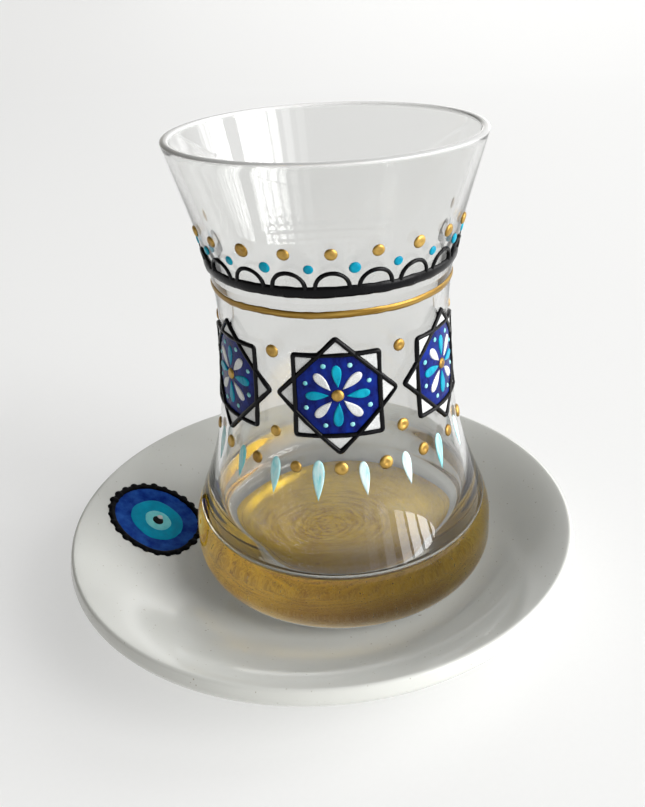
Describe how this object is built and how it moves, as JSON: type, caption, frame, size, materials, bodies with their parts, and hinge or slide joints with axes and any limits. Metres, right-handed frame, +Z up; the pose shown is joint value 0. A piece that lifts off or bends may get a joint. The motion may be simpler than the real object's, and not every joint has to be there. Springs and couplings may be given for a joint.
{
  "type": "tea glass and saucer",
  "caption": "Waisted clear tea glass with raised painted ornament and a gold base, standing loose on a round white porcelain saucer that catches drips and holds a spoon.",
  "frame": {"origin": "middle of the saucer's foot ring, on the surface that it stands on", "axes": "+Z up along the saucer's axis; -Y towards the viewer of the picture; the glass stands 5 mm towards +X"},
  "size_m": [0.1116, 0.1116, 0.1031],
  "materials": {
    "white_glaze": "white glazed porcelain, glossy",
    "clear_glass": "clear soda-lime glass, fire polished",
    "gold_paint": "brushed-on metallic gold paint",
    "black_relief": "glossy raised black contour paint",
    "cobalt_enamel": "glossy cobalt glass paint with brush marks",
    "turquoise_enamel": "glossy turquoise paint",
    "pale_enamel": "pale turquoise paint"
  },
  "bodies": {
    "saucer": {"saucer": "white_glaze", "roundel_edge": "black_relief", "roundel_blue": "cobalt_enamel", "roundel_turquoise": "turquoise_enamel", "roundel_pale": "pale_enamel", "roundel_pupil": "black_relief"},
    "tea_glass": {"tea_glass": "clear_glass", "gold_base_coat": "gold_paint", "gold_stripe": "gold_paint", "arched_border": "black_relief", "star_outline_1": "black_relief", "star_field_1": "cobalt_enamel", "star_outline_2": "black_relief", "star_field_2": "cobalt_enamel", "star_outline_3": "black_relief", "star_field_3": "cobalt_enamel"}
  },
  "joints": [
    {"name": "glass_lift", "type": "slide", "parent": "saucer", "child": "tea_glass", "axis": [0, 0, 1], "range_m": [0, 0.12]}
  ]
}
